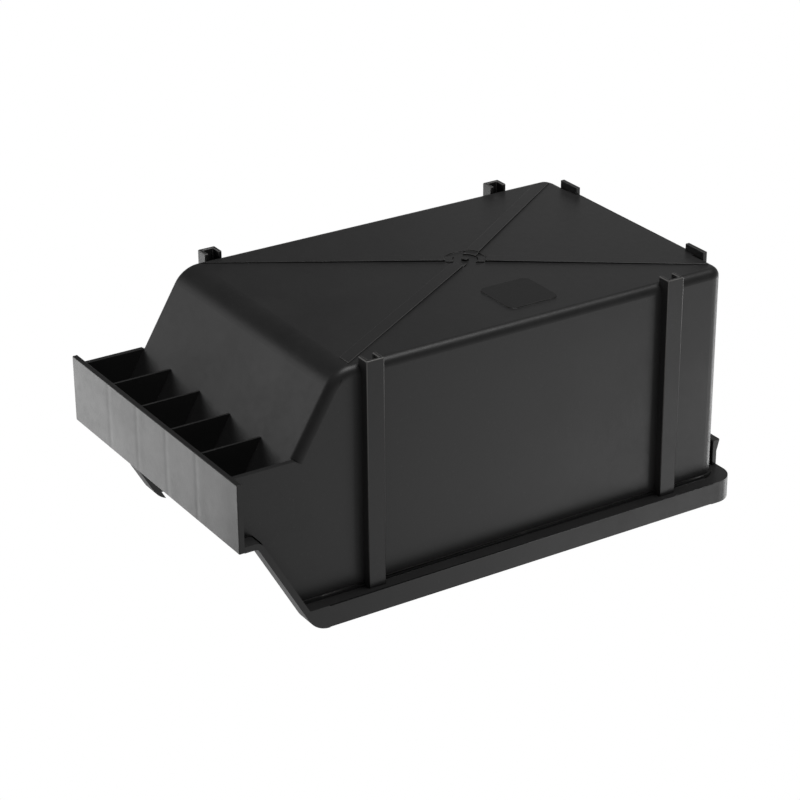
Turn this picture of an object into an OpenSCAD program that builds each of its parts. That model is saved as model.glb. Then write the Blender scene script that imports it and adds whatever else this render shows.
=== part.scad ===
// Conductive stack-and-hang storage bin with a hopper front, moulded in one shot.
// The bin stands on its feet, open side up. X runs across the bin, Y from the
// label plate at the front to the hanging lip at the rear, Z up. Each member of
// the moulding is a solid of its own, and neighbours meet face to face.

/* [Overall] */
// Width over the rim and over the label plate
bin_w = 105; // [90:1:130]
// Length from the face of the label plate to the rear face of the rim
bin_l = 181.8; // [150:0.2:240]
// Height from the ends of the feet to the top of the rim
bin_h = 81.4; // [74:0.2:110]

/* [Tub] */
// Thickness of the floor, the walls and the scoop
wall = 1.7; // [1.2:0.1:2]
// Outer radius along the sides of the floor and of the scoop
edge_r = 2.8; // [2.3:0.1:4]
// Outer radius of the tub's upright rear corners
corner_r = 4.8; // [4.2:0.1:9]
// Outer radius along the rear edge of the floor, between the tabs
rear_edge_r = 0.5; // [0.2:0.1:2]
// Lean of the scoop from upright, in degrees
scoop_angle = 31; // [24:1:36]
// Distance from the face of the label plate to the back of the scoop, at the lip
scoop_y = 8.5; // [7:0.5:12]
// Outer radius of the bend between the floor and the scoop
bend_r = 10; // [8:0.5:16]

/* [Front] */
// Height of the front lip above the ends of the feet
lip_h = 48.4; // [40:0.2:60]
// Depth of the flat lip in front of the slanting edges of the hopper
lip_d = 6.1; // [4:0.1:8]
// Height of the label plate, which hangs from the lip
plate_h = 22; // [16:0.2:28]
// Thickness of the label plate
plate_t = 1.8; // [1.4:0.1:2.4]
// Number of ribs that stiffen the label plate from behind
rib_count = 4;
// Thickness of one of those ribs
rib_t = 1; // [0.8:0.1:1.6]
// How far the ribs stop short of the free edge of the label plate
rib_inset = 0.4; // [0:0.1:2]
// Lean of the hopper's slanting edges from upright, in degrees
hopper_angle = 29.5; // [22:0.5:36]
// Radius between a slanting edge and the lip
hopper_foot_r = 1.2; // [0.8:0.1:4]
// Radius between a slanting edge and the rim
hopper_top_r = 8; // [5:0.5:12]

/* [Rim] */
// How far the rim stands out from the walls
rim_out = 5; // [4.6:0.1:7]
// Thickness of the rim's ledge and of the border along the hopper
rim_t = 1.9; // [1.5:0.1:2.6]
// Height of the rim, from the underside of its ledge to the top of its outer wall
rim_h = 7.4; // [5:0.1:10]
// Thickness of the rim's outer wall
guard_t = 1.6; // [1.2:0.1:2]
// Outer radius of the rim's rear corners
rim_corner_r = 7; // [5:0.5:8]
// Height of the shoulder under the ledge
shoulder_h = 1.2; // [0.6:0.1:3]
// How far the shoulder stands out from the walls
shoulder_t = 0.7; // [0.4:0.1:1]

/* [Hanging lip] */
// Width of the lip that hangs the bin on a louvred panel
hang_w = 84; // [60:1:86]
// How far the hanging lip reaches down from the top of the rim
hang_drop = 16.3; // [14:0.1:22]
// Thickness of the hanging lip
hang_t = 1.8; // [1.4:0.1:2.2]
// How far the barb on its lower edge stands out
barb_out = 1; // [0.6:0.1:2]
// Height of the barb
barb_h = 4.2; // [3:0.1:6]

/* [Posts and feet] */
// Width of a stacking post along the wall
post_w = 6; // [5:0.1:8]
// Wall of the hollow post
post_wall = 1.2; // [0.9:0.1:1.5]
// Clearance between a foot and the outer wall of the rim that it stacks in
post_gap = 0.4; // [0.3:0.1:1]
// Distance from the bend to the front posts
front_post_gap = 2.4; // [1:0.1:20]
// Distance from the rear wall to the rear posts
rear_post_gap = 18.6; // [10:0.1:40]
// How far the feet stand below the floor
foot_h = 2.3; // [1.5:0.1:4]
// How far the feet reach in under the rounded edge of the floor
foot_in = 1.9; // [0.8:0.1:2.2]
// Width of a stacking tab under the rear wall
tab_w = 9; // [6:0.5:14]
// Distance from the centre line to the middle of a tab
tab_x = 33.7; // [20:0.1:38]
// Thickness of a tab
tab_t = 1.4; // [1:0.1:2]

/* [Floor underside] */
// Width of the raised bands that lead the melt from the gate to the corners
band_w = 4.2; // [2:0.2:6]
// Height of the bands at the gate
band_h = 0.6; // [0.3:0.05:0.8]
// Height of the bands at the corners
band_tip = 0.3; // [0.05:0.05:0.3]
// Distance of the gate, and of the cross of bands round it, from the centre line
gate_x = 2.8; // [0:0.1:5]
// Share of the floor's length that lies in front of the gate
gate_share = 0.53; // [0.4:0.002:0.6]
// Diameter of the dimple round the gate
dimple_d = 13.2; // [8:0.2:18]
// Depth of that dimple
dimple_depth = 0.3; // [0.2:0.05:0.8]
// Diameter of the gate mark in the dimple
gate_d = 2.4; // [1:0.1:4]
// Height of the gate mark
gate_h = 0.7; // [0.2:0.05:1]
// Side of the raised square pad on the floor's left half
pad_w = 18; // [10:0.5:22]
// Distance from the centre line to the middle of the pad
pad_x = 28.9; // [22:0.1:32]
// Share of the floor's length that lies in front of the middle of the pad
pad_share = 0.518; // [0.4:0.002:0.6]
// Corner radius of the pad
pad_r = 2.5; // [1:0.5:4]
// Height of the pad
pad_h = 0.3; // [0.1:0.05:0.6]

/* [Hidden] */
$fn = 96;

// Outer half width of the tub and of the rim
tub_x = bin_w / 2 - rim_out;
rim_x = bin_w / 2;
// Outer face of the rear wall, and the lines where the rounded edges and corners begin
back_y = bin_l - rim_out;
flat_x = tub_x - edge_r;
flat_y = back_y - edge_r;
corner_x = tub_x - corner_r;
corner_y = back_y - corner_r;
inner_r = edge_r - wall;
length_all = bin_l + barb_out;

// Side view of the bend: virtual corner, tangent length and centre
bend_corner_y = scoop_back(foot_h);
bend_sweep = 90 - scoop_angle;
bend_t = bend_r * tan(bend_sweep / 2);
bend_y = bend_corner_y + bend_t;
bend_z = foot_h + bend_r;
// Where the bend ends and the flat scoop begins
scoop_foot_y = bend_corner_y - bend_t * sin(scoop_angle);
scoop_foot_z = foot_h + bend_t * cos(scoop_angle);

// Label plate, ribs and lip
plate_z = lip_h - plate_h;
rib_z = plate_z + rib_inset;
lip_under_z = lip_h - rim_t;
// Underside and top of the rim's ledge
ledge_z = bin_h - rim_h;
ledge_top = ledge_z + rim_t;
rib_pitch = 2 * (tub_x - wall / 2) / (rib_count + 1);
// Length of the scoop's rounded outer edges, up to the ends of the label holder
open_run = (rib_z - scoop_foot_z) / cos(scoop_angle);
scoop_run = (lip_h - scoop_foot_z) / cos(scoop_angle) + edge_r;

// Hopper edge: where it would meet the rim, and where the rounding ends
hopper_top_y = lip_d + (bin_h - lip_h) * tan(hopper_angle);
rim_front_y = hopper_top_y + hopper_top_r * tan((90 - hopper_angle) / 2);

// Posts and floor centre
post_x = rim_x - guard_t - post_gap;
front_post_y = bend_y + front_post_gap;
rear_post_y = back_y - rear_post_gap - post_w;
gate_y = bend_y + gate_share * (back_y - bend_y);
// Round at the gate that the bands stop short of, so that they don't run into each other
hub_d = 0.2 + band_w / sin(min(atan2(flat_x, gate_y - bend_y), atan2(corner_x, flat_y - gate_y)));
pad_y = bend_y + pad_share * (back_y - bend_y);
// Middle of a tab, kept clear of the rounded corner
tab_mid = min(tab_x, corner_x - tab_w / 2);
over = 1;

function scoop_back(z) = scoop_y + (lip_h - z) * tan(scoop_angle);
function scoop_inset(z, d) = scoop_back(z) + d / cos(scoop_angle);
// Rear face of the border along the slanting edge
function slant_back(z) = lip_d + rim_t / cos(hopper_angle) + (z - lip_h) * tan(hopper_angle);
function unit(v) = v / norm(v);

module placed() { translate([0, -length_all / 2, 0]) children(); }
module moulded() { color([0.09, 0.09, 0.095]) placed() children(); }
// Extrudes a side view, drawn in Y and Z, from x0 to x1
module across(x0, x1) { translate([x0, 0, 0]) rotate([90, 0, 90]) linear_extrude(x1 - x0) children(); }
// Extrudes a front view, drawn in X and Z, from y0 to y1
module along(y0, y1) { translate([0, y1, 0]) rotate([90, 0, 0]) linear_extrude(y1 - y0) children(); }
// Extrudes a plan view from z0 to z1
module upward(z0, z1) { translate([0, 0, z0]) linear_extrude(z1 - z0) children(); }
module box_2d(a0, b0, a1, b1) { translate([a0, b0]) square([a1 - a0, b1 - b0]); }

// The sliver between a sharp corner and its rounding, for two edges that leave p along u1 and u2
module spandrel(p, u1, u2, r) {
  half_angle = acos(u1 * u2) / 2;
  t = r / tan(half_angle);
  centre = p + unit(u1 + u2) * r / sin(half_angle);
  difference() {
    polygon([p, p + t * u1, centre, p + t * u2]);
    translate(centre) circle(r);
  }
}

// Plan of the tub or the rim: a rectangle open at the front with rounded rear corners
module rear_rounded(half_w, rear_y, r) {
  difference() {
    box_2d(-half_w, -over, half_w, rear_y);
    for (side = [-1, 1])
      spandrel([side * half_w, rear_y], [-side, 0], [0, -1], r);
  }
}

// Side view of the inside of the tub at a depth d below its outer faces, open upwards
module tub_side(d) {
  low_z = foot_h + d;
  high_z = bin_h + over;
  corner = [scoop_inset(low_z, d), low_z];
  difference() {
    polygon([corner, [corner_y, low_z], [corner_y, high_z], [scoop_inset(high_z, d), high_z]]);
    spandrel(corner, [1, 0], [-sin(scoop_angle), cos(scoop_angle)], bend_r - d);
  }
}

// Side view of all that lies a depth d or more below the lip, the hopper edge and the rim
module below_border(d) {
  slant = [sin(hopper_angle), cos(hopper_angle)];
  lip_z = lip_h - d;
  top_z = bin_h - d;
  slant_y = lip_d + d / cos(hopper_angle);
  foot = [slant_y - d * tan(hopper_angle), lip_z];
  top = [slant_y + (top_z - lip_h) * tan(hopper_angle), top_z];
  difference() {
    union() {
      polygon([[plate_t, 0], [plate_t, lip_z], foot, top, [bin_l, top_z], [bin_l, 0]]);
      spandrel(foot, [-1, 0], slant, hopper_foot_r + d);
    }
    spandrel(top, -slant, [1, 0], hopper_top_r - d);
  }
}

// Section of the edge between two walls, with an outer radius r
module edge_ring(r) {
  difference() {
    square(edge_r);
    circle(inner_r);
    spandrel([edge_r, edge_r], [-1, 0], [0, -1], r);
  }
}

// Filling of an inside corner with the same rounding
module edge_fill() { difference() { box_2d(0, 0, inner_r, edge_r); circle(inner_r); } }

// Stands a section, drawn in X and depth, on the scoop's foot and runs it up the scoop
module up_scoop(s0, s1) {
  translate([0, scoop_foot_y, scoop_foot_z]) rotate([scoop_angle, 0, 0])
    translate([flat_x, edge_r, s0]) linear_extrude(s1 - s0) mirror([0, 1]) children();
}

// Sweeps a section, drawn in radius and X, round the bend
module round_bend() {
  translate([0, bend_y, bend_z]) rotate([0, 90, 0]) rotate([0, 0, -bend_sweep])
    rotate_extrude(angle = bend_sweep) children();
}

// Side view of the lip, from the back of the label plate to a depth d in the scoop
module lip_side(d) {
  polygon([[plate_t, lip_under_z], [plate_t, lip_h],
    [scoop_inset(lip_h, d), lip_h], [scoop_inset(lip_under_z, d), lip_under_z]]);
}

// Side view of the side wall's flat sheet: the tub's side and the end of the label holder
module sheet_side() {
  holder_foot = [scoop_back(rib_z), rib_z];
  holder_in = holder_foot + edge_r * [cos(scoop_angle), sin(scoop_angle)];
  difference() {
    intersection() {
      below_border(0);
      union() {
        tub_side(edge_r);
        polygon([[plate_t, rib_z], holder_foot, holder_in, [holder_in[0], bin_h], [plate_t, bin_h]]);
      }
    }
    channel_side();
  }
}

// Side view of the open channel above the ledge, in which the bin above stands
module channel_side() {
  high_z = bin_h + over;
  polygon([[slant_back(ledge_top), ledge_top], [slant_back(high_z), high_z],
    [bin_l + over, high_z], [bin_l + over, ledge_top]]);
}

// Flat side wall, which runs forward to close one end of the label holder
module side_wall() { across(tub_x - wall, tub_x) sheet_side(); }

// Rounded edges between the side wall and the floor, round the bend and up the scoop
module floor_edge() {
  along(bend_y, corner_y) translate([flat_x, foot_h + edge_r]) mirror([0, 1]) edge_ring(edge_r);
}
module bend_edge() { round_bend() translate([bend_r - edge_r, flat_x]) edge_ring(edge_r); }
module scoop_edge() {
  up_scoop(0, open_run) edge_ring(edge_r);
  intersection() {
    up_scoop(open_run, scoop_run) edge_fill();
    translate([0, -over, 0]) cube([bin_w, bin_l, lip_h]);
  }
  across(flat_x, tub_x - wall) lip_side(wall / 2);
}

// Plan of the flat floor
module floor_plan() {
  intersection() {
    rear_rounded(flat_x, flat_y, corner_r - edge_r);
    box_2d(-bin_w, bend_y, bin_w, bin_l);
  }
}

// Round outline about the gate
module dimple_plan(d) { translate([gate_x, gate_y]) circle(d = d); }

module floor_panel() {
  moulded() {
    difference() {
      upward(foot_h, foot_h + wall) floor_plan();
      upward(foot_h - over, foot_h + dimple_depth) dimple_plan(dimple_d);
    }
    upward(foot_h - pad_h, foot_h) translate([-pad_x, pad_y])
      difference() {
        square(pad_w, center = true);
        for (sx = [-1, 1], sy = [-1, 1])
          spandrel([sx, sy] * pad_w / 2, [-sx, 0], [0, -sy], pad_r);
      }
  }
}

module front_scoop() {
  moulded() across(-flat_x, flat_x) intersection() {
    difference() { tub_side(0); tub_side(wall); }
    box_2d(0, 0, bend_y, lip_under_z);
  }
}

module left_wall() { moulded() mirror([1, 0, 0]) side_wall(); }
module right_wall() { moulded() side_wall(); }
module left_floor_edge() { moulded() mirror([1, 0, 0]) floor_edge(); }
module right_floor_edge() { moulded() floor_edge(); }
module left_bend_edge() { moulded() mirror([1, 0, 0]) bend_edge(); }
module right_bend_edge() { moulded() bend_edge(); }
module left_scoop_edge() { moulded() mirror([1, 0, 0]) scoop_edge(); }
module right_scoop_edge() { moulded() scoop_edge(); }

// Side view of the rear wall's lower edge
module rear_edge(r) { translate([flat_y, foot_h + edge_r]) mirror([0, 1]) edge_ring(r); }

module rear_wall() {
  moulded() {
    across(-corner_x, corner_x) box_2d(back_y - wall, foot_h + edge_r, back_y, ledge_top);
    across(-tab_mid, tab_mid) rear_edge(rear_edge_r);
    for (side = [0, 1]) mirror([side, 0, 0]) {
      across(tab_mid, corner_x) rear_edge(edge_r);
      translate([corner_x, corner_y, 0]) {
        upward(foot_h + edge_r, ledge_top) intersection() {
          difference() { circle(corner_r); circle(corner_r - wall); }
          square(corner_r);
        }
        translate([0, 0, foot_h + edge_r]) rotate_extrude(angle = 90)
          translate([corner_r - edge_r, 0]) mirror([0, 1]) edge_ring(edge_r);
      }
    }
  }
}

module front_lip() { moulded() across(-flat_x, flat_x) lip_side(wall); }

module label_plate() { moulded() translate([-rim_x, 0, plate_z]) cube([bin_w, plate_t, plate_h]); }

module label_rib(index) {
  x = (index - (rib_count + 1) / 2) * rib_pitch;
  moulded() across(x - rib_t / 2, x + rib_t / 2)
    polygon([[plate_t, rib_z], [plate_t, lip_under_z],
      [scoop_back(lip_under_z), lip_under_z], [scoop_back(rib_z), rib_z]]);
}

// Border along the lip's end and the slanting edge, with the front end of the rim: a block that
// is cut out above the ledge and, in two overlapping cuts, below it
module hopper_edge() {
  difference() {
    across(tub_x, rim_x) intersection() { below_border(0); box_2d(0, foot_h, rim_front_y, bin_h); }
    across(tub_x - over, rim_x - guard_t) channel_side();
    across(tub_x + shoulder_t, rim_x + over) under_border(ledge_z);
    across(tub_x - over, rim_x + over) under_border(ledge_z - shoulder_h);
  }
}

// Side view of what lies under the border and below the height z
module under_border(z) {
  intersection() { below_border(rim_t); box_2d(0, 0, bin_l, z); }
}

module left_hopper_edge() { moulded() mirror([1, 0, 0]) hopper_edge(); }
module right_hopper_edge() { moulded() hopper_edge(); }

// Ledge, outer wall and shoulder over one stretch of the rim, drawn in plan as the child
module rim_stretch() {
  upward(ledge_z, ledge_top) intersection() {
    difference() { rear_rounded(rim_x, bin_l, rim_corner_r); rear_rounded(tub_x, back_y, corner_r); }
    children();
  }
  upward(ledge_top, bin_h) intersection() {
    difference() {
      rear_rounded(rim_x, bin_l, rim_corner_r);
      rear_rounded(rim_x - guard_t, bin_l - guard_t, rim_corner_r - guard_t);
    }
    children();
  }
  upward(ledge_z - shoulder_h, ledge_z) difference() {
    intersection() {
      difference() {
        rear_rounded(tub_x + shoulder_t, back_y + shoulder_t, corner_r + shoulder_t);
        rear_rounded(tub_x, back_y, corner_r);
      }
      children();
    }
    for (y = [front_post_y, rear_post_y])
      box_2d(-post_x, y, post_x, y + post_w);
  }
}

module side_rim() { rim_stretch() box_2d(corner_x, rim_front_y, rim_x, corner_y); }
module left_rim() { moulded() mirror([1, 0, 0]) side_rim(); }
module right_rim() { moulded() side_rim(); }
module rear_rim() { moulded() rim_stretch() box_2d(-corner_x, corner_y, corner_x, bin_l); }
module rim_corner() { rim_stretch() box_2d(corner_x, corner_y, rim_x, bin_l); }
module left_rim_corner() { moulded() mirror([1, 0, 0]) rim_corner(); }
module right_rim_corner() { moulded() rim_corner(); }

module hanging_lip() {
  low_z = bin_h - hang_drop;
  moulded() across(-hang_w / 2, hang_w / 2)
    polygon([[bin_l - hang_t, ledge_z], [bin_l - hang_t, low_z], [bin_l + barb_out, low_z],
      [bin_l + barb_out, low_z + barb_h / 6], [bin_l, low_z + barb_h], [bin_l, ledge_z]]);
}

// Section of the tub's outside at a rounded floor edge, which posts and tabs are cut to
module tub_front() {
  difference() {
    box_2d(0, foot_h, tub_x, bin_h);
    spandrel([tub_x, foot_h], [-1, 0], [0, 1], edge_r);
  }
}

// Hollow post: an outer web and two flanges, from the ledge down to its foot below the floor
module post(y) {
  difference() {
    translate([tub_x - foot_in, y, 0]) cube([post_x - tub_x + foot_in, post_w, ledge_z]);
    along(y - over, y + post_w + over) tub_front();
    translate([tub_x - foot_in - over, y + post_wall, -over])
      cube([post_x - tub_x + foot_in + over - post_wall, post_w - 2 * post_wall, bin_h + 2 * over]);
  }
}

module front_left_post() { moulded() mirror([1, 0, 0]) post(front_post_y); }
module front_right_post() { moulded() post(front_post_y); }
module rear_left_post() { moulded() mirror([1, 0, 0]) post(rear_post_y); }
module rear_right_post() { moulded() post(rear_post_y); }

// Side view of a tab below a rear edge with an outer radius r
module tab_side(r) {
  difference() {
    box_2d(back_y - tab_t, 0, back_y, foot_h + edge_r);
    difference() {
      box_2d(flat_y, foot_h, back_y, foot_h + edge_r + over);
      spandrel([back_y, foot_h], [-1, 0], [0, 1], r);
    }
  }
}

// Flat tab that carries the rear wall's face down to the level of the feet
module rear_tab() {
  across(tab_mid - tab_w / 2, tab_mid) tab_side(rear_edge_r);
  across(tab_mid, tab_mid + tab_w / 2) tab_side(edge_r);
}

module left_rear_tab() { moulded() mirror([1, 0, 0]) rear_tab(); }
module right_rear_tab() { moulded() rear_tab(); }

// Raised band that runs from the gate towards one corner of the flat floor and thins out on the
// way there. It is lower inside the dimple. The point to is that corner as seen from a gate on
// the centre line.
module band(to) {
  run = to - [0, gate_y];
  reach = norm(run) + band_w;
  moulded() difference() {
    intersection() {
      translate([gate_x, gate_y, foot_h]) rotate(atan2(run[1], run[0])) rotate([90, 0, 0])
        linear_extrude(band_w, center = true)
          polygon([[0, dimple_depth], [0, -band_h], [reach, -band_tip], [reach, dimple_depth]]);
      upward(foot_h - band_h - over, foot_h + dimple_depth + over) floor_plan();
    }
    difference() {
      upward(foot_h, foot_h + dimple_depth + over) square(2 * bin_l, center = true);
      upward(foot_h - over, foot_h + dimple_depth + 2 * over) dimple_plan(dimple_d);
    }
    upward(foot_h - band_h - over, foot_h - band_h / 4) dimple_plan(dimple_d);
    upward(foot_h - band_h - over, foot_h + dimple_depth + over) dimple_plan(hub_d);
  }
}

module front_left_band() { band([-flat_x, bend_y]); }
module front_right_band() { band([flat_x, bend_y]); }
module rear_left_band() { band([-corner_x, flat_y]); }
module rear_right_band() { band([corner_x, flat_y]); }

// Stub of the gate, standing in the dimple
module gate_mark() {
  moulded() upward(foot_h + dimple_depth - gate_h, foot_h + dimple_depth)
    dimple_plan(gate_d);
}

floor_panel();
front_scoop();
left_wall();
right_wall();
rear_wall();
left_floor_edge();
right_floor_edge();
left_bend_edge();
right_bend_edge();
left_scoop_edge();
right_scoop_edge();
front_lip();
label_plate();
label_rib(1);  // label_rib_1
label_rib(2);  // label_rib_2
label_rib(3);  // label_rib_3
label_rib(4);  // label_rib_4
left_hopper_edge();
right_hopper_edge();
left_rim();
right_rim();
rear_rim();
left_rim_corner();
right_rim_corner();
hanging_lip();
front_left_post();
front_right_post();
rear_left_post();
rear_right_post();
left_rear_tab();
right_rear_tab();
front_left_band();
front_right_band();
rear_left_band();
rear_right_band();
gate_mark();
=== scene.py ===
import math

import bmesh
import bpy
from mathutils import Matrix, Vector
from mathutils.bvhtree import BVHTree


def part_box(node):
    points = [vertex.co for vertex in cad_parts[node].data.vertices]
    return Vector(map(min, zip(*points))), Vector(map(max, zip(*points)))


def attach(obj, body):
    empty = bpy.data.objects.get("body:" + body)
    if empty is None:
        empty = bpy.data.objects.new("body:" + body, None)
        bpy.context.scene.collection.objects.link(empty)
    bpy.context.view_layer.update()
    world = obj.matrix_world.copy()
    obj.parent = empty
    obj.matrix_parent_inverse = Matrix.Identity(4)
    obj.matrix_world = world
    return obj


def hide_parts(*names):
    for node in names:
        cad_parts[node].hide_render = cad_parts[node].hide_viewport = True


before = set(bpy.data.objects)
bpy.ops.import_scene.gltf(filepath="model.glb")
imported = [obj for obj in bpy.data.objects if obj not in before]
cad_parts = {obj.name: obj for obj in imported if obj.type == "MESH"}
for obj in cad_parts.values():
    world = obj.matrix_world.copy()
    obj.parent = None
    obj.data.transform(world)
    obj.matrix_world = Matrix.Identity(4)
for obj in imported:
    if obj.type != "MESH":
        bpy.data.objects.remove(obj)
bpy.context.view_layer.update()

# Floor and scoop: the two broad sheets of the tub, moulded in one shot from
# carbon-filled polypropylene. The melt came in near the middle of the floor's
# underside and left a faintly clouded, fine-grained skin.


class Flow:
    """A shader socket that takes part in Python arithmetic."""

    def __init__(self, tree, socket):
        self.tree, self.socket = tree, socket

    def make(self, kind, settings, sockets, out=0):
        node = self.tree.nodes.new(kind)
        for name, value in settings.items():
            if name == "stops":
                while len(node.color_ramp.elements) < len(value):
                    node.color_ramp.elements.new(0.5)
                for stop, (place, grey) in zip(node.color_ramp.elements, value):
                    stop.position, stop.color = place, (grey, grey, grey, 1)
            else:
                setattr(node, name, value)
        for key, value in sockets.items():
            if isinstance(value, Flow):
                self.tree.links.new(value.socket, node.inputs[key])
            else:
                node.inputs[key].default_value = value
        return Flow(self.tree, node.outputs[out])

    def maths(self, operation, a, b=0.0):
        return self.make("ShaderNodeMath", {"operation": operation}, {0: a, 1: b})

    def __add__(self, other): return self.maths("ADD", self, other)
    def __radd__(self, other): return self.maths("ADD", other, self)
    def __sub__(self, other): return self.maths("SUBTRACT", self, other)
    def __rsub__(self, other): return self.maths("SUBTRACT", other, self)
    def __mul__(self, other): return self.maths("MULTIPLY", self, other)
    def __rmul__(self, other): return self.maths("MULTIPLY", other, self)
    def __truediv__(self, other): return self.maths("DIVIDE", self, other)
    def __pow__(self, other): return self.maths("POWER", self, other)

    def ramp(self, *stops):
        return self.make("ShaderNodeValToRGB", {"stops": stops}, {"Fac": self})


def black_plastic(name, sheen=0.0, hollows=None, depth=1.0, edge_highlight_and_wear=0.1):
    """Makes a skin: sheen smooths it, hollows dents it, depth dims it; its edges get painted
    highlight and wear.
    """
    material = bpy.data.materials.new(name)
    material.use_nodes = True
    tree = material.node_tree
    shader = tree.nodes["Principled BSDF"]
    place = Flow(tree, tree.nodes.new("ShaderNodeTexCoord").outputs["Object"])

    def noise(scale, detail, rough=0.5, stretch=(1, 1, 1)):
        where = place.make("ShaderNodeMapping", {}, {"Vector": place, "Scale": stretch})
        return place.make("ShaderNodeTexNoise", {},
                          {"Vector": where, "Scale": scale, "Detail": detail, "Roughness": rough})

    def mix(share, first, second):
        return place.make("ShaderNodeMix", {"data_type": "RGBA"},
                          {0: share, 6: first, 7: second}, 2)

    cloud = noise(38, 3, 0.6)
    fleck = noise(420, 2, 0.6)
    grain = noise(2600, 1.5, 0.6)
    speck = noise(900, 0).ramp((0.74, 0), (0.79, 1))
    highlight_and_wear = Flow(tree, tree.nodes.new("ShaderNodeAttribute").outputs["Fac"])
    highlight_and_wear.socket.node.attribute_name = "highlight_and_wear"
    tint = 0.55 * cloud + 0.25 * fleck + 0.2 * grain
    dark = [depth * c for c in (0.0142, 0.0142, 0.0147)]
    light = [depth * c for c in (0.0282, 0.0279, 0.0275)]
    # Pale tone for the dust specks, which are dust, and for the rounded edges, where it is
    # painted highlight with some wear.
    dust_and_highlight = (0.140, 0.137, 0.134, 1)
    dust_and_highlight_share = speck * 0.03 + highlight_and_wear * edge_highlight_and_wear
    colour = mix(dust_and_highlight_share, mix(tint, (*dark, 1), (*light, 1)), dust_and_highlight)
    rough = 0.40 - sheen + 0.16 * (cloud - 0.5) + 0.10 * (fleck - 0.5) - 0.08 * highlight_and_wear
    height = grain * 0.000012 + fleck * 0.00001
    if hollows:
        height = height - hollows(place, noise)
    bump = place.make("ShaderNodeBump", {}, {"Strength": 1.0, "Distance": 1.0, "Height": height})
    tree.links.new(colour.socket, shader.inputs["Base Color"])
    tree.links.new(rough.socket, shader.inputs["Roughness"])
    tree.links.new(bump.socket, shader.inputs["Normal"])
    shader.inputs["IOR"].default_value = 1.5
    shader.inputs["Specular IOR Level"].default_value = 0.25
    return material


cad_trees = {}
for name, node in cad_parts.items():
    mesh = node.data
    mesh.calc_loop_triangles()
    cad_trees[name] = BVHTree.FromPolygons([v.co for v in mesh.vertices],
                                           [t.vertices for t in mesh.loop_triangles])


def soften(name, radius):
    """Copies a member of the moulding and rounds those of its edges that no neighbour touches.

    A radius of 0 leaves every edge sharp.
    """
    flat_enough = math.radians(0.3)
    crease = math.radians(28)
    same_way = 0.94
    touching = 0.00004
    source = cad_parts[name].data
    triangles = source.loop_triangles
    corner_normals = [tuple(source.corner_normals[i].vector.copy() for i in t.loops)
                      for t in triangles]
    others = [tree for other, tree in cad_trees.items() if other != name]

    def cad_normal(point, face):
        near = point.lerp(face.calc_center_median(), 0.02)
        _, flat, index, _ = cad_trees[name].find_nearest(near)
        if flat.dot(face.normal) < same_way:
            return face.normal.copy()
        a, b, c = (source.vertices[i].co for i in triangles[index].vertices)
        u, v, w = b - a, c - a, point - a
        uu, uv, vv, wu, wv = u.dot(u), u.dot(v), v.dot(v), w.dot(u), w.dot(v)
        across = uu * vv - uv * uv
        s, t = (vv * wu - uv * wv) / across, (uu * wv - uv * wu) / across
        na, nb, nc = corner_normals[index]
        return (na * (1 - s - t) + nb * s + nc * t).normalized()

    def exposed(edge, face):
        start, end = (v.co for v in edge.verts)
        inward = face.normal.cross(end - start).normalized()
        if inward.dot(face.calc_center_median() - start) < 0:
            inward = -inward
        for t in (0.04, 0.27, 0.5, 0.73, 0.96):
            probe = start.lerp(end, t) + inward * radius * 0.7 + face.normal * touching / 2
            if any(tree.find_nearest(probe, touching)[0] for tree in others):
                return False
        return True

    skin = bmesh.new()
    skin.from_mesh(source)
    bmesh.ops.remove_doubles(skin, verts=skin.verts, dist=1e-6)
    bmesh.ops.dissolve_limit(skin, angle_limit=flat_enough, verts=skin.verts, edges=skin.edges)
    skin.normal_update()
    free = [e for e in skin.edges if radius and len(e.link_faces) == 2
            and e.calc_face_angle(0) > crease
            and all(exposed(e, f) for f in e.link_faces)]
    rounded = set()
    if free:
        made = bmesh.ops.bevel(skin, geom=free, offset=radius, offset_type="OFFSET", segments=3,
                               profile=0.5, affect="EDGES", clamp_overlap=True)
        rounded = set(made["faces"])
    skin.normal_update()
    normals = []
    # Vertices inside the rounding are marked for the skin's paler edge tone, a painted highlight
    # with some wear.
    highlight_and_wear = {v: 1.0 if rounded and all(f in rounded for f in v.link_faces) else 0.0
            for v in skin.verts}
    for face in skin.faces:
        for corner in face.loops:
            vertex = corner.vert
            if face not in rounded:
                normals.append(cad_normal(vertex.co, face))
                continue
            plain = [f for f in vertex.link_faces if f not in rounded]
            beside = [f for f in plain if any(e in f.edges for e in face.edges)] or plain
            if beside:
                best = max(beside, key=lambda f: f.normal.dot(face.normal))
                normals.append(cad_normal(vertex.co, best))
            else:
                around = (f.normal * f.calc_area() for f in vertex.link_faces)
                normals.append(sum(around, Vector()).normalized())
    skin.verts.index_update()
    highlight_and_wear_values = [highlight_and_wear[v] for v in skin.verts]
    mesh = bpy.data.meshes.new(name + "_moulded")
    skin.to_mesh(mesh)
    skin.free()
    mesh.shade_smooth()
    mesh.normals_split_custom_set(normals)
    mesh.attributes.new("highlight_and_wear", "FLOAT", "POINT").data.foreach_set("value", highlight_and_wear_values)
    piece = bpy.data.objects.new(name + "_moulded", mesh)
    bpy.context.scene.collection.objects.link(piece)
    return piece


def fit(name, radius, material):
    piece = soften(name, radius)
    piece.data.materials.clear()
    piece.data.materials.append(material)
    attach(piece, "root")
    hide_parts(name)
    return piece


black = black_plastic("moulded_black")
fit("front_scoop", 0.0002, black)
floor = fit("floor_panel", 0.0002, black)

# Pad: a square patch on the floor's underside, raised a little and with a
# duller skin than the rest.
floor.data.materials.append(black_plastic("moulded_black_pad", sheen=-0.1, depth=0.6))
pad_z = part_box("floor_panel")[0][2]
pad_reach = 0.00005
for face in floor.data.polygons:
    if face.center.z < pad_z + pad_reach:
        face.material_index = 1

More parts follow.
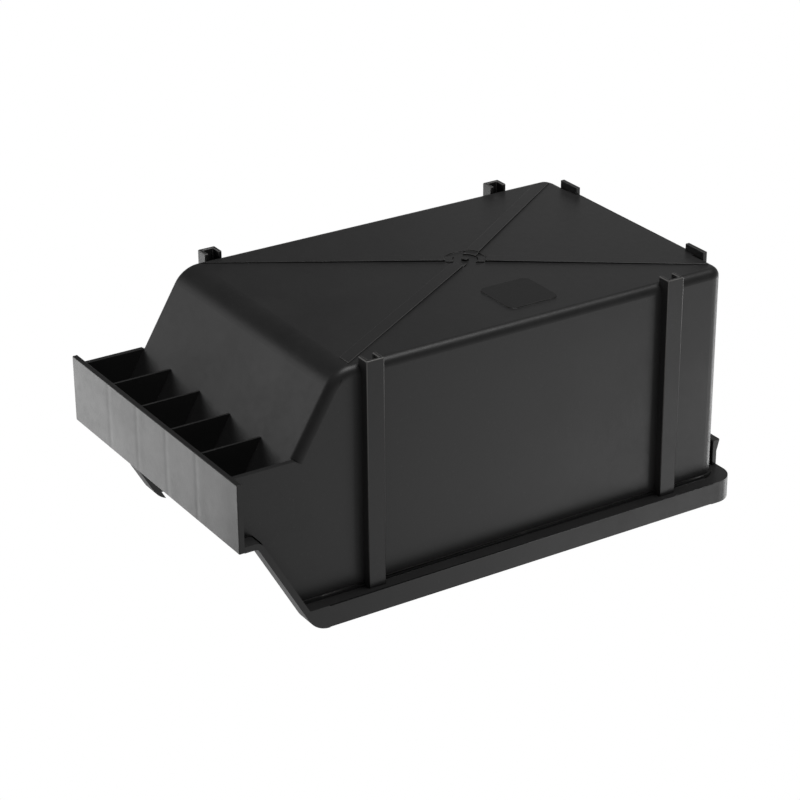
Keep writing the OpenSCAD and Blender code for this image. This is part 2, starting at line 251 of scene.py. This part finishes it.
# Rounded edges: the curved strips that join the floor, the bend and the
# scoop to the side walls, at one thickness with them.
for side in ("left", "right"):
    for strip, radius in (("floor", 0.0002), ("bend", 0.0002), ("scoop", 0)):
        fit(f"{side}_{strip}_edge", radius, black)

# Side walls and rear wall: thin upright sheets, the side ones running on in
# front of the scoop to close the ends of the label holder.
for name, radius in (("left_wall", 0), ("right_wall", 0), ("rear_wall", 0.0003)):
    fit(name, radius, black)

# Label holder: a tall plate that hangs from the lip, stiffened from behind by
# thin ribs. The ribs draw faint sink lines in the face of the plate.
ribs = ("label_rib_1", "label_rib_2", "label_rib_3", "label_rib_4")
for name in ("front_lip", *ribs):
    fit(name, 0.00018, black)


def sink_lines(place, noise):
    line_width, line_depth, wave_depth = 0.0012, 0.00003, 0.00025
    across = place.make("ShaderNodeSeparateXYZ", {}, {"Vector": place})
    dips = 0.0
    for rib in ribs:
        low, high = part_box(rib)
        off = (across - (low[0] + high[0]) / 2) / line_width
        dips = place.maths("EXPONENT", -1.0 * (off * off)) * line_depth + dips
    return dips + noise(34, 2, 0.5, (1, 1, 0.45)) * wave_depth


fit("label_plate", 0.0003, black_plastic("moulded_black_plate", sheen=0.06, hollows=sink_lines))

# Hopper edges: the border flanges along the slanting front edges, each ending
# in the front of the rim.
for name in ("left_hopper_edge", "right_hopper_edge"):
    fit(name, 0, black)

# Rim: a flat ledge with a low wall standing on its outer edge, which makes the
# channel that the next bin stacks in, and a shoulder where it meets the walls.
for name in ("left_rim", "right_rim", "rear_rim"):
    fit(name, 0.00035, black)
for name in ("left_rim_corner", "right_rim_corner"):
    fit(name, 0, black)

# Hanging lip: a barbed strip below the rear rim that hooks over the louvres
# of a wall panel.
fit("hanging_lip", 0.0003, black)

# Stacking posts and tabs: hollow posts that run up the side walls to the
# ledge, and flat tabs under the rear wall. Their ends are the bin's feet. Their
# rounded edges get the palest tone, a painted highlight with some wear.
post_edge_highlight = black_plastic("moulded_black_post", edge_highlight_and_wear=1.0)
for name in ("front_left_post", "front_right_post", "rear_left_post", "rear_right_post",
             "left_rear_tab", "right_rear_tab"):
    fit(name, 0.00055, post_edge_highlight)

# Gate and bands: the trimmed stub where the melt came in, standing in its
# dimple, and the raised bands that led the melt to the floor's corners. Two of
# the bands have a painted highlight along their rounded edges.
band_edge_highlight = black_plastic("moulded_black_band", edge_highlight_and_wear=0.55)
for name, skin in (("front_left_band", band_edge_highlight), ("front_right_band", black),
                   ("rear_left_band", black), ("rear_right_band", band_edge_highlight), ("gate_mark", black)):
    fit(name, 0.00015, skin)

# Floor of the studio: a pale round sheet that the bin stands on, fading out to
# the white backdrop. It is a one-way sheet, so that the bin's underside can be
# seen and lit through it.
corners, sheet_radius, sheet_z = 96, 1.6, -0.0002
turns = [2 * math.pi * i / corners for i in range(corners)]
sheet = bpy.data.meshes.new("studio_floor")
sheet.from_pydata([(sheet_radius * math.cos(t), sheet_radius * math.sin(t), sheet_z)
                   for t in turns], [], [tuple(range(corners))])
studio_floor = bpy.data.objects.new("studio_floor", sheet)
bpy.context.scene.collection.objects.link(studio_floor)
pale = bpy.data.materials.new("pale_floor")
pale.use_nodes = True
tree = pale.node_tree
tree.nodes.clear()
spot = Flow(tree, tree.nodes.new("ShaderNodeTexCoord").outputs["Object"])
reach = spot.make("ShaderNodeVectorMath", {"operation": "LENGTH"}, {0: spot}, 1)
solid = reach.make("ShaderNodeMapRange", {"interpolation_type": "SMOOTHSTEP"},
                   {"Value": reach, "From Min": 0.25, "From Max": 1.1,
                    "To Min": 1.0, "To Max": 0.0})
camera_ray = spot.make("ShaderNodeLightPath", {}, {}, "Is Camera Ray")
underneath = spot.make("ShaderNodeNewGeometry", {}, {}, "Backfacing")
paint = spot.make("ShaderNodeBsdfDiffuse", {}, {"Color": (0.7, 0.7, 0.7, 1)})
clear = spot.make("ShaderNodeBsdfTransparent", {}, {})
shown = solid * camera_ray * (1 - underneath)
blend = spot.make("ShaderNodeMixShader", {}, {0: shown, 1: clear, 2: paint})
tree.links.new(blend.socket, tree.nodes.new("ShaderNodeOutputMaterial").inputs["Surface"])
sheet.materials.append(pale)

# Backdrop: white to the camera. To everything else it is a room that is bright
# above the bin and dark below.
scene = bpy.context.scene
world = bpy.data.worlds.new("white_room")
scene.world = world
world.use_nodes = True
tree = world.node_tree
room = tree.nodes["Background"]
seen = Flow(tree, tree.nodes.new("ShaderNodeLightPath").outputs["Is Camera Ray"])
split = tree.nodes.new("ShaderNodeSeparateXYZ")
tree.links.new(tree.nodes.new("ShaderNodeTexCoord").outputs["Generated"], split.inputs[0])
above = seen.make("ShaderNodeMapRange", {"interpolation_type": "SMOOTHSTEP"},
                  {"Value": Flow(tree, split.outputs["Z"]), "From Min": -0.3, "From Max": 0.15})
glow_below, glow_above = 0.05, 0.56
level = glow_below + glow_above * above
tree.links.new((seen + (1 - seen) * level).socket, room.inputs["Strength"])
room.inputs["Color"].default_value = (1, 1, 1, 1)


# Lamps: a large soft box under the bin, for the underside that the picture
# shows, small ones that the label plate, the scoop, the long side and the rear
# of the floor mirror, and one behind that draws the edges turned towards it.
def soft_box(name, place, aim, size, watts):
    lamp = bpy.data.lights.new(name, "AREA")
    lamp.shape, lamp.size, lamp.energy = "SQUARE", size, watts
    box = bpy.data.objects.new(name, lamp)
    box.location = place
    box.rotation_euler = (Vector(aim) - Vector(place)).to_track_quat("-Z", "Y").to_euler()
    box.visible_camera = False
    scene.collection.objects.link(box)


soft_box("underside", (-0.11, 0.25, -1.07), (0, 0, 0), 0.65, 10.2)
soft_box("label_plate", (0.4, -0.215, 0.215), (0.02, -0.09, 0.04), 0.22, 0.44)
soft_box("scoop", (0.6, -0.6, -0.2), (0, -0.06, 0.02), 0.4, 1.0)
soft_box("long_side", (-0.55, 0.65, 0.55), (-0.05, 0, 0.04), 0.35, 1.55)
soft_box("floor_rear", (0.76, 0.68, -0.2), (0, 0, 0), 0.35, 0.14)
soft_box("edges", (0.0, 0.85, 0.42), (0, 0, 0.04), 0.35, 1.6)

# Camera: below and to the left of the bin, turned over, so that the bin shows
# upside down as it lay when it was photographed.
viewpoint = Vector((-0.6206, -0.3953, -0.3063))
ahead = Vector((0.7637, 0.4813, 0.4302)).normalized()
right = Vector((-0.5331, 0.8460, 0.0)).normalized()
up = right.cross(ahead)
roll = math.radians(-0.3525)
tilted_right = math.cos(roll) * right + math.sin(roll) * up
tilted_up = math.cos(roll) * up - math.sin(roll) * right
lens = bpy.data.cameras.new("camera")
lens.lens, lens.sensor_width = 116.4, 36
camera = bpy.data.objects.new("camera", lens)
camera.matrix_world = Matrix((
    (tilted_right.x, tilted_up.x, -ahead.x, viewpoint.x),
    (tilted_right.y, tilted_up.y, -ahead.y, viewpoint.y),
    (tilted_right.z, tilted_up.z, -ahead.z, viewpoint.z),
    (0, 0, 0, 1)))
scene.collection.objects.link(camera)
scene.camera = camera
scene.view_settings.view_transform = "Standard"

bpy.context.view_layer.update()
